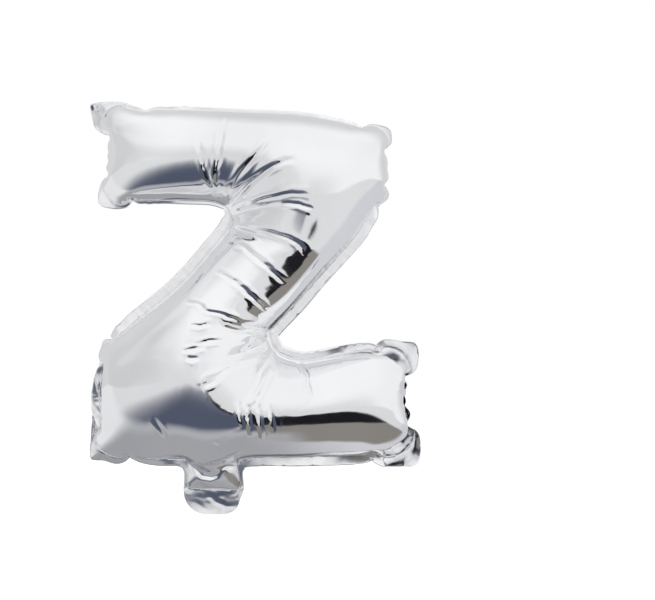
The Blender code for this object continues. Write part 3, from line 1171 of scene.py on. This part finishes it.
@dataclass
class WeldedBand:
    """The flat band of film outside the weld, with the raised line that the weld leaves."""

    thickness: float = 0.35
    line_radius: float = 0.45
    # The band's fold lines take only a faint painted shade.
    finish: CrumpledFoil = CrumpledFoil(
        "welded_band_foil", silver=(0.99, 0.99, 1.0, 1.0), shade=(0.94, 0.945, 0.955, 1.0),
        roughness=(0.22, 0.30), fold_scale=55.0, fold=0.03, grain=0.01,
    )
    line_finish: MirrorFoil = MirrorFoil("weld_line_foil", smooth=0.16, hazy=0.30)

    def build(self, skin: SoftSkin, weld_path: np.ndarray) -> None:
        """Build and dress the band and its weld line.

        Args:
            skin: The balloon's skin.
            weld_path: The weld line's points in metres, closed.
        """
        band = add_piece("weld_band", *skin.part(Region.WELD_BAND), self.finish.material())
        thicken(band, self.thickness)
        dress(band, "welded_foil", "seam_rim")
        line = self.raised_line(weld_path)
        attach(line, "root")
        LOG.info("%s: %d faces", line.name, len(line.data.polygons))

    def raised_line(self, path: np.ndarray) -> bpy.types.Object:
        """Run a small round bead along the weld with Geometry Nodes.

        Args:
            path: The weld line's points in metres, closed.

        Returns:
            The bead as a plain mesh.
        """
        mesh = bpy.data.meshes.new("weld_line")
        count = len(path)
        mesh.from_pydata(path.tolist(), [(i, (i + 1) % count) for i in range(count)], [])
        line = bpy.data.objects.new("weld_line", mesh)
        bpy.context.scene.collection.objects.link(line)
        material = self.line_finish.material()
        tree, inputs = self.bead_tree(material)
        modifier = line.modifiers.new("Weld bead", "NODES")
        modifier.node_group = tree
        modifier[inputs["Bead Radius"]] = self.line_radius * MM
        modifier[inputs["Step"]] = 2.0 * MM
        modifier[inputs["Pinch Height"]] = 0.55 * MM
        modifier[inputs["Pinch Seed"]] = 4
        plain_mesh(line)
        bpy.data.node_groups.remove(tree)
        if not line.data.materials:
            line.data.materials.append(material)
        line.data.shade_smooth()
        return line

    @staticmethod
    def bead_tree(material: bpy.types.Material) -> tuple:
        """Make the tree that sweeps the bead and sets small pinches along it.

        Args:
            material: The bead's finish.

        Returns:
            The tree, and its input sockets' identifiers by name.
        """
        tree = bpy.data.node_groups.new("weld_bead_tree", "GeometryNodeTree")
        face = tree.interface
        face.new_socket("Geometry", in_out="INPUT", socket_type="NodeSocketGeometry")
        face.new_socket("Geometry", in_out="OUTPUT", socket_type="NodeSocketGeometry")
        inputs = {}
        for name in ("Bead Radius", "Step", "Pinch Height"):
            inputs[name] = face.new_socket(name, in_out="INPUT", socket_type="NodeSocketFloat").identifier
        inputs["Pinch Seed"] = face.new_socket("Pinch Seed", in_out="INPUT", socket_type="NodeSocketInt").identifier
        node = tree.nodes.new
        link = tree.links.new
        entry, leave = node("NodeGroupInput"), node("NodeGroupOutput")
        curve, even = node("GeometryNodeMeshToCurve"), node("GeometryNodeResampleCurve")
        even.mode = "LENGTH"
        link(entry.outputs["Geometry"], curve.inputs["Mesh"])
        link(curve.outputs["Curve"], even.inputs["Curve"])
        link(entry.outputs["Step"], even.inputs["Length"])
        ring, sweep = node("GeometryNodeCurvePrimitiveCircle"), node("GeometryNodeCurveToMesh")
        ring.inputs["Resolution"].default_value = 6
        link(entry.outputs["Bead Radius"], ring.inputs["Radius"])
        link(even.outputs["Curve"], sweep.inputs["Curve"])
        link(ring.outputs["Curve"], sweep.inputs["Profile Curve"])
        pinch, spread = node("GeometryNodeMeshIcoSphere"), node("GeometryNodeInstanceOnPoints")
        pinch.inputs["Subdivisions"].default_value = 1
        link(entry.outputs["Pinch Height"], pinch.inputs["Radius"])
        size = node("FunctionNodeRandomValue")
        size.data_type = "FLOAT_VECTOR"
        size.inputs[0].default_value = (0.7, 0.7, 0.7)
        size.inputs[1].default_value = (1.1, 1.1, 1.1)
        link(entry.outputs["Pinch Seed"], size.inputs["Seed"])
        link(even.outputs["Curve"], spread.inputs["Points"])
        link(pinch.outputs["Mesh"], spread.inputs["Instance"])
        link(size.outputs[0], spread.inputs["Scale"])
        joined, real, coat = node("GeometryNodeJoinGeometry"), node("GeometryNodeRealizeInstances"), node("GeometryNodeSetMaterial")
        coat.inputs["Material"].default_value = material
        link(sweep.outputs["Mesh"], joined.inputs["Geometry"])
        link(spread.outputs["Instances"], joined.inputs["Geometry"])
        link(joined.outputs["Geometry"], real.inputs["Geometry"])
        link(real.outputs["Geometry"], coat.inputs["Geometry"])
        link(coat.outputs["Geometry"], leave.inputs["Geometry"])
        return tree, inputs


@dataclass
class FillingTail:
    """The neck under the letter, its flat two-film flap and the valve film between them."""

    film_gap: float = 0.35
    valve_left: float = -52.0
    valve_right: float = -22.0
    valve_top: float = -214.0
    valve_foot: float = -262.0
    # The tail foil's fold lines take the crumpled foil's painted shade.
    finish: CrumpledFoil = CrumpledFoil("tail_foil", roughness=(0.08, 0.2), fold_scale=38.0, fold=0.10)
    valve_finish: ValveFilm = ValveFilm("valve_film")

    def build(self, net: FilmNet, skin: SoftSkin, foot: np.ndarray) -> None:
        """Build and dress both tail films and the valve film.

        Args:
            net: The finished net, which the valve film follows.
            skin: The balloon's skin.
            foot: The weld line's points along the neck's foot, in metres.
        """
        for name, neck, node, side in (
            ("tail_front_foil", Region.NECK_FRONT, "tail_front_film", -1),
            ("tail_back_foil", Region.NECK_BACK, "tail_back_film", 1),
        ):
            material = self.finish.material()
            piece = add_piece(name, *self.film(skin, neck, side, foot), material)
            dress(piece, "silver_foil", node)
        valve = add_piece("valve_film", *self.valve_strip(net), self.valve_finish.material())
        thicken(valve, 0.2)
        dress(valve, "valve_film", "valve_liner")

    def film(self, skin: SoftSkin, neck: Region, side: int, foot: np.ndarray) -> tuple:
        """Join one side of the neck to its own film of the flap.

        Args:
            skin: The balloon's skin.
            neck: The neck's region on this side.
            side: -1 for the front and 1 for the back.
            foot: The weld line's points along the neck's foot, in metres.

        Returns:
            The film's points and faces.
        """
        points, faces = skin.part(neck, Region.FLAP)
        flap_points = np.unique(skin.faces[skin.region == Region.FLAP.value])
        away = np.min(np.linalg.norm(skin.points[flap_points][:, None] - foot[None], axis=2), axis=1)
        share = np.clip(away / (6.0 * MM), 0.0, 1.0)
        used = np.unique(skin.faces[np.isin(skin.region, [neck.value, Region.FLAP.value])])
        rows = np.searchsorted(used, flap_points)
        points = points.copy()
        points[rows, 1] += side * share * self.film_gap * MM
        if side > 0:
            is_flap = skin.region[np.isin(skin.region, [neck.value, Region.FLAP.value])] == Region.FLAP.value
            faces = faces.copy()
            faces[is_flap] = faces[is_flap][:, ::-1]
        return points, faces

    def valve_strip(self, net: FilmNet) -> tuple:
        """Lay the valve film along the middle of the neck and the flap.

        Args:
            net: The finished net.

        Returns:
            The strip's points in metres and its faces.
        """
        columns, rows = np.meshgrid(
            np.linspace(self.valve_left, self.valve_right, 11),
            np.linspace(self.valve_top, self.valve_foot, 17),
        )
        flat = np.stack([columns.ravel(), rows.ravel()], axis=1)
        low = np.where((net.flat[:, 1] < NECK_LINE + 14.0) & (np.abs(net.flat[:, 0] + 37.0) < 40.0))[0]
        gap = np.linalg.norm(flat[:, None] - net.flat[low][None], axis=2)
        weight = np.exp(-((gap / 3.0) ** 2)) + 1e-12
        points = weight @ net.place[low] / weight.sum(axis=1)[:, None]
        points[:, 1] += FOLDS.press(Layer.WELD, flat)
        width = columns.shape[1]
        corner = (np.arange(rows.shape[0] - 1)[:, None] * width + np.arange(width - 1)).ravel()
        faces = np.stack([corner, corner + width, corner + width + 1, corner + 1], axis=1)
        return points * MM, faces


@dataclass
class CornerTabs:
    """The four loose corners of film outside the weld."""

    thickness: float = 0.4

    def build(self, skin: SoftSkin) -> None:
        """Build and dress the four tabs.

        Args:
            skin: The balloon's skin.
        """
        for name, region, node in (
            ("tab_top_left", Region.TAB_TOP_LEFT, "hang_tab_top_left"),
            ("tab_top_right", Region.TAB_TOP_RIGHT, "hang_tab_top_right"),
            ("tab_bottom_left", Region.TAB_BOTTOM_LEFT, "corner_tab_bottom_left"),
            ("tab_bottom_right", Region.TAB_BOTTOM_RIGHT, "corner_tab_bottom_right"),
        ):
            # Each tab's fold lines take the crumpled foil's painted shade.
            piece = add_piece(name, *skin.part(region), CrumpledFoil(name + "_foil").material())
            thicken(piece, self.thickness)
            dress(piece, "silver_foil", node)


@dataclass
class LetterBalloon:
    """The whole balloon: cut, weld, blow up, fit, crease, then share out into pieces."""

    pattern: FlatPattern = field(default_factory=FlatPattern)
    inflation: Inflation = field(default_factory=Inflation)

    def build(self) -> None:
        """Build every piece."""
        net = self.inflation.blow_up(self.pattern)
        LOG.info("blown up: %d points, %.0f mm deep", len(net.place), np.ptp(net.place[:, 1]))
        WeldFit().apply(net)
        Relaxing().apply(net)
        BandLay().apply(net)
        skin = SoftSkin.from_net(net, self.regions(net))
        skin.crease(FOLDS)
        path = self.weld_path(net)
        Envelope().build(skin)
        WeldedBand().build(skin, path)
        foot = net.place[self.on_foot(net)] * MM
        FillingTail().build(net, skin, foot)
        CornerTabs().build(skin)

    @staticmethod
    def on_foot(net: FilmNet) -> np.ndarray:
        """Return the points of the weld line along the neck's foot."""
        welded = np.intersect1d(
            np.unique(net.faces[net.layer == Layer.WELD.value]),
            np.unique(net.faces[net.layer == Layer.FRONT.value]),
        )
        low = net.flat[welded][:, 1] < FLAP_LINE + 1.0
        return welded[low]

    def weld_path(self, net: FilmNet) -> np.ndarray:
        """Return the blown-up weld line in order, in metres."""
        welded = np.intersect1d(
            np.unique(net.faces[net.layer == Layer.WELD.value]),
            np.unique(net.faces[net.layer == Layer.FRONT.value]),
        )
        outline = even_steps(self.pattern.weld, self.pattern.step / 2.0)
        gap = np.linalg.norm(outline[:, None] - net.flat[welded][None], axis=2)
        nearest = welded[np.argmin(gap, axis=1)]
        keep = np.concatenate([[True], nearest[1:] != nearest[:-1]])
        return net.place[nearest[keep]] * MM

    @staticmethod
    def regions(net: FilmNet) -> np.ndarray:
        """Tell which part of the balloon each face of the net becomes.

        Args:
            net: The finished net.

        Returns:
            One region value for each face.
        """
        middle = net.flat[net.faces].mean(axis=1)
        low = middle[:, 1] < NECK_LINE
        in_neck = low & (middle[:, 0] > -70.0) & (middle[:, 0] < -5.0)
        region = np.where(net.layer == Layer.FRONT.value, Region.FRONT_PANEL.value, Region.BACK_PANEL.value)
        region[in_neck & (net.layer == Layer.FRONT.value)] = Region.NECK_FRONT.value
        region[in_neck & (net.layer == Layer.BACK.value)] = Region.NECK_BACK.value
        band = net.layer == Layer.WELD.value
        region[band] = Region.WELD_BAND.value
        for corner in CORNERS:
            if corner.name in TABS:
                near = np.linalg.norm(middle - (corner.x, corner.z), axis=1) < TAB_REACH
                region[band & near] = TABS[corner.name].region.value
        feet = {corner.name: corner for corner in CORNERS}
        right, left = feet["neck_right_foot"], feet["neck_left_foot"]
        share = (middle[:, 0] - left.x) / (right.x - left.x)
        foot = left.z + (right.z - left.z) * share
        flap = band & in_neck & (middle[:, 1] < foot)
        region[flap] = Region.FLAP.value
        return region


@dataclass
class Studio:
    """A pale floor, soft light all round and the camera, straight in front of the letter."""

    floor_height: float = -0.30
    camera_distance: float = 2.5
    photo_width: float = 0.655
    centre: tuple = (0.0775, -0.014)

    def build(self) -> None:
        """Set up the floor, the light and the camera."""
        self.add_floor()
        self.add_reflection_card()
        self.add_sky()
        self.add_lights()
        self.add_camera()

    def add_floor(self) -> None:
        """Lay the pale floor."""
        half = 6.0
        points = [(-half, -half, 0.0), (half, -half, 0.0), (half, half, 0.0), (-half, half, 0.0)]
        mesh = bpy.data.meshes.new("pale_floor")
        mesh.from_pydata([(x, y, self.floor_height) for x, y, z in points], [], [(0, 1, 2, 3)])
        material = bpy.data.materials.new("pale_floor")
        material.use_nodes = True
        shader = material.node_tree.nodes["Principled BSDF"]
        shader.inputs["Base Color"].default_value = (0.93, 0.93, 0.93, 1.0)
        shader.inputs["Roughness"].default_value = 0.9
        shader.inputs["Emission Color"].default_value = (1.0, 1.0, 1.0, 1.0)
        shader.inputs["Emission Strength"].default_value = 0.34
        mesh.materials.append(material)
        floor = bpy.data.objects.new("pale_floor", mesh)
        bpy.context.scene.collection.objects.link(floor)
        floor.visible_glossy = False

    @staticmethod
    def add_sky() -> None:
        """Surround the studio with soft, slightly cloudy white light that is greyer behind."""
        world = bpy.data.worlds.new("soft_studio")
        bpy.context.scene.world = world
        world.use_nodes = True
        tree = world.node_tree
        place = tree.nodes.new("ShaderNodeTexCoord")
        split = tree.nodes.new("ShaderNodeSeparateXYZ")
        tree.links.new(place.outputs["Generated"], split.inputs["Vector"])
        cloud = tree.nodes.new("ShaderNodeTexNoise")
        cloud.inputs["Scale"].default_value = 1.6
        cloud.inputs["Detail"].default_value = 1.0
        tree.links.new(place.outputs["Generated"], cloud.inputs["Vector"])
        x, y, z = (split.outputs[axis] for axis in "XYZ")
        ahead = mixed(tree, blend_step(tree, z, -0.05, 0.45), (0.77, 0.77, 0.77), (0.97, 0.97, 0.975))
        sides = mixed(tree, blend_step(tree, x, 0.25, 0.85), ahead, (0.92, 0.92, 0.92))
        sides = mixed(tree, blend_step(tree, x, -0.20, -0.80), sides, (0.66, 0.66, 0.67))
        cloudy = mixed(tree, blend_step(tree, cloud.outputs["Fac"], 0.40, 0.64), sides, (1.0, 1.0, 1.0))
        drift = tree.nodes.new("ShaderNodeMixRGB")
        drift.inputs["Fac"].default_value = 0.35
        tree.links.new(sides, drift.inputs["Color1"])
        tree.links.new(cloudy, drift.inputs["Color2"])
        whole = mixed(tree, blend_step(tree, y, -0.1, 0.6), drift.outputs["Color"], (0.70, 0.70, 0.71))
        rays = tree.nodes.new("ShaderNodeLightPath")
        shown = mixed(tree, rays.outputs["Is Camera Ray"], whole, (1.0, 1.0, 1.0))
        tree.links.new(shown, tree.nodes["Background"].inputs["Color"])

    def add_reflection_card(self) -> None:
        """Lay a big card on the floor that only the foil sees: grey, with a dark patch in front."""
        half = 4.0
        corners = [(-half, -half), (half, -half), (half, half), (-half, half)]
        mesh = bpy.data.meshes.new("reflection_card")
        mesh.from_pydata([(x, y, self.floor_height + 0.004) for x, y in corners], [], [(0, 1, 2, 3)])
        material = bpy.data.materials.new("reflection_card")
        material.use_nodes = True
        tree = material.node_tree
        tree.nodes.remove(tree.nodes["Principled BSDF"])
        place = tree.nodes.new("ShaderNodeTexCoord")
        split = tree.nodes.new("ShaderNodeSeparateXYZ")
        tree.links.new(place.outputs["Object"], split.inputs["Vector"])
        x, y = split.outputs["X"], split.outputs["Y"]
        reach = tree.nodes.new("ShaderNodeVectorMath")
        reach.operation = "LENGTH"
        tree.links.new(place.outputs["Object"], reach.inputs[0])
        near_by = blend_step(tree, reach.outputs["Value"], 3.8, 2.4)
        behind = blend_step(tree, y, -0.22, -0.06)
        along = product(tree, blend_step(tree, x, -0.60, -0.18), blend_step(tree, x, 0.13, 0.05))
        patch = product(tree, along, product(tree, blend_step(tree, y, -0.10, -0.19), blend_step(tree, y, -2.3, -0.35)))
        right = product(tree, blend_step(tree, x, 0.03, 0.09), blend_step(tree, x, 0.43, 0.37))
        strip = product(tree, right, product(tree, blend_step(tree, y, -0.24, -0.27), blend_step(tree, y, -0.98, -0.86)))
        brown = product(tree, right, product(tree, blend_step(tree, y, -0.03, -0.06), blend_step(tree, y, -0.30, -0.27)))
        rear = mixed(tree, blend_step(tree, x, 0.0, 0.14), (0.37, 0.37, 0.39), (0.66, 0.66, 0.69))
        rear = mixed(tree, blend_step(tree, x, -0.24, -0.42), rear, (0.84, 0.84, 0.85))
        base = mixed(tree, behind, (0.76, 0.76, 0.77), rear)
        base = mixed(tree, patch, base, (0.085, 0.10, 0.145))
        base = mixed(tree, brown, base, (0.26, 0.245, 0.225))
        black = mixed(tree, strip, base, (0.012, 0.012, 0.016))
        glow = tree.nodes.new("ShaderNodeEmission")
        tree.links.new(black, glow.inputs["Color"])
        clear = tree.nodes.new("ShaderNodeBsdfTransparent")
        faded = tree.nodes.new("ShaderNodeMixShader")
        tree.links.new(near_by, faded.inputs["Fac"])
        tree.links.new(clear.outputs["BSDF"], faded.inputs[1])
        tree.links.new(glow.outputs["Emission"], faded.inputs[2])
        tree.links.new(faded.outputs["Shader"], tree.nodes["Material Output"].inputs["Surface"])
        mesh.materials.append(material)
        card = bpy.data.objects.new("reflection_card", mesh)
        bpy.context.scene.collection.objects.link(card)
        card.visible_camera = False
        card.visible_diffuse = False
        card.visible_shadow = False

    @staticmethod
    def add_lights() -> None:
        """Hang one broad soft lamp above and in front."""
        lamp = bpy.data.lights.new("soft_lamp", "AREA")
        lamp.energy = 30.0
        lamp.size = 2.0
        lamp.specular_factor = 0.0
        holder = bpy.data.objects.new("soft_lamp", lamp)
        holder.visible_glossy = False
        holder.location = (-0.8, -1.6, 2.2)
        holder.rotation_euler = (Vector((0.0, 0.0, 0.0)) - holder.location).to_track_quat("-Z", "Y").to_euler()
        bpy.context.scene.collection.objects.link(holder)

    def add_camera(self) -> None:
        """Stand the camera straight in front, framed as the photograph is."""
        camera = bpy.data.cameras.new("camera")
        camera.sensor_fit = "HORIZONTAL"
        camera.lens = camera.sensor_width * self.camera_distance / self.photo_width
        holder = bpy.data.objects.new("camera", camera)
        holder.location = (self.centre[0], -self.camera_distance, self.centre[1])
        holder.rotation_euler = (radians(90.0), 0.0, 0.0)
        bpy.context.scene.collection.objects.link(holder)
        bpy.context.scene.camera = holder


def main() -> None:
    """Build the balloon and its studio."""
    logging.basicConfig(level=logging.INFO, format="%(name)s: %(message)s")
    Studio().build()
    LetterBalloon().build()
    bpy.context.scene.view_settings.view_transform = "Standard"


if __name__ == "__main__":
    main()
